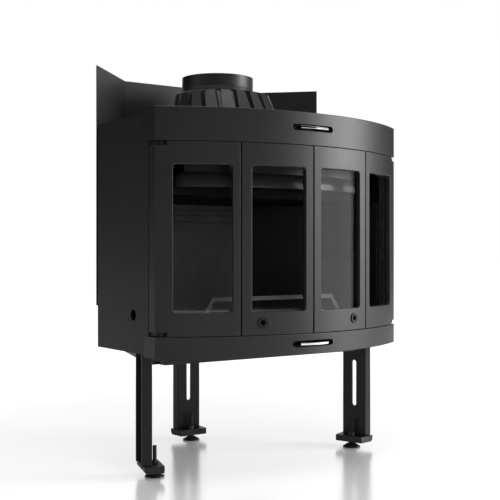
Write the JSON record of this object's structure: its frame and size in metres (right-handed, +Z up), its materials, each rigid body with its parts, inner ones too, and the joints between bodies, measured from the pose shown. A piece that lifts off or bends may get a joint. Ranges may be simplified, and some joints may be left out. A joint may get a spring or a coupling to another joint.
{
  "type": "fireplace insert",
  "caption": "Fireplace insert with a curved front, folding glazed doors on each side, sliding air levers, a ribbed crown with a round flue collar, heat shields and legs with levelling feet.",
  "frame": {"origin": "on the floor, under the middle of the overall box", "axes": "+Z up, the doors face -Y, +X is to the right of a person who faces the doors"},
  "size_m": [0.76, 0.6346, 1.0417],
  "materials": {
    "body_paint": "fine matte stove paint, anthracite",
    "door_paint": "fine matte stove paint over a casting, anthracite",
    "cast_iron": "as cast, painted dark grey",
    "collar_paint": "matte stove paint, anthracite",
    "shield_sheet": "matte sheet, anthracite",
    "door_glass": "clear heat-resistant glass, slightly smoky",
    "polished_chrome": "polished",
    "plain_steel": "bare turned steel",
    "black_steel": "blackened steel"
  },
  "bodies": {
    "stove": {"side_panel_left": "body_paint", "side_panel_right": "body_paint", "rear_casing": "body_paint", "top_cover": "body_paint", "floor_plate": "body_paint", "base_pan": "body_paint", "pan_walls": "body_paint", "top_trim": "body_paint", "bottom_trim": "body_paint", "head_plate": "body_paint", "sill_plate": "body_paint", "door_posts": "body_paint", "hinge_brackets": "body_paint", "hinge_pins": "plain_steel", "upper_air_channel": "body_paint", "lower_air_channel": "body_paint", "heat_crown": "cast_iron", "flue_collar": "collar_paint", "heat_deflector": "shield_sheet", "rear_heat_shield": "shield_sheet", "shield_spacers": "body_paint", "hearth_plate": "cast_iron", "burn_plate_left": "cast_iron", "burn_plate_right": "cast_iron", "corner_burn_plates": "cast_iron", "rear_burn_plate": "cast_iron", "secondary_air_channel": "body_paint", "smoke_baffle": "cast_iron", "air_wash_hood": "body_paint", "log_guard": "cast_iron", "leg_left": "body_paint", "leg_right": "body_paint", "leg_rear": "body_paint", "foot_brackets": "cast_iron", "leg_bolts": "plain_steel"},
    "door_1": {"door_frame_1": "door_paint", "glass_pane_1": "door_glass", "glass_retainer_1": "door_paint", "fold_pins_left": "plain_steel"},
    "door_2": {"door_frame_2": "door_paint", "glass_pane_2": "door_glass", "glass_retainer_2": "door_paint", "guide_pins_left": "plain_steel"},
    "door_3": {"door_frame_3": "door_paint", "glass_pane_3": "door_glass", "glass_retainer_3": "door_paint", "guide_pins_right": "plain_steel"},
    "door_4": {"door_frame_4": "door_paint", "glass_pane_4": "door_glass", "glass_retainer_4": "door_paint", "fold_pins_right": "plain_steel"},
    "left_lock": {"lock_spindle_left": "plain_steel"},
    "right_lock": {"lock_spindle_right": "plain_steel"},
    "upper_air_control": {"upper_air_lever": "polished_chrome", "upper_air_shutter": "body_paint"},
    "lower_air_control": {"lower_air_lever": "polished_chrome", "lower_air_shutter": "body_paint"},
    "left_foot": {"levelling_foot_left": "black_steel"},
    "right_foot": {"levelling_foot_right": "black_steel"},
    "rear_foot": {"levelling_foot_rear": "black_steel"}
  },
  "joints": [
    {"name": "door_1_hinge", "type": "hinge", "parent": "stove", "child": "door_1", "pos_m": [-0.361, -0.18427, 0.584], "axis": [0, 0, -1], "range_deg": [0, 80]},
    {"name": "door_2_fold", "type": "hinge", "parent": "door_1", "child": "door_2", "pos_m": [-0.18804, -0.24874, 0.584], "axis": [0, 0, -1], "range_deg": [-160, 0]},
    {"name": "door_4_hinge", "type": "hinge", "parent": "stove", "child": "door_4", "pos_m": [0.361, -0.18427, 0.584], "axis": [0, 0, 1], "range_deg": [0, 80]},
    {"name": "door_3_fold", "type": "hinge", "parent": "door_4", "child": "door_3", "pos_m": [0.18804, -0.24874, 0.584], "axis": [0, 0, 1], "range_deg": [-160, 0]},
    {"name": "left_lock_turn", "type": "hinge", "parent": "door_2", "child": "left_lock", "pos_m": [-0.14337, -0.28965, 0.384], "axis": [0.215, 0.9766, 0], "range_deg": [0, 90]},
    {"name": "right_lock_turn", "type": "hinge", "parent": "door_3", "child": "right_lock", "pos_m": [0.14337, -0.28965, 0.384], "axis": [0.215, -0.9766, 0], "range_deg": [0, 90]},
    {"name": "upper_air_slide", "type": "slide", "parent": "stove", "child": "upper_air_control", "axis": [1, 0, 0], "range_m": [-0.018, 0.018]},
    {"name": "lower_air_slide", "type": "slide", "parent": "stove", "child": "lower_air_control", "axis": [1, 0, 0], "range_m": [-0.018, 0.018]},
    {"name": "left_foot_screw", "type": "slide", "parent": "stove", "child": "left_foot", "axis": [0, 0, -1], "range_m": [0, 0.035]},
    {"name": "right_foot_screw", "type": "slide", "parent": "stove", "child": "right_foot", "axis": [0, 0, -1], "range_m": [0, 0.035]},
    {"name": "rear_foot_screw", "type": "slide", "parent": "stove", "child": "rear_foot", "axis": [0, 0, -1], "range_m": [0, 0.035]}
  ],
  "couplings": [
    {"joint": "door_2_fold", "follows": "door_1_hinge", "ratio": -2},
    {"joint": "door_3_fold", "follows": "door_4_hinge", "ratio": -2}
  ]
}
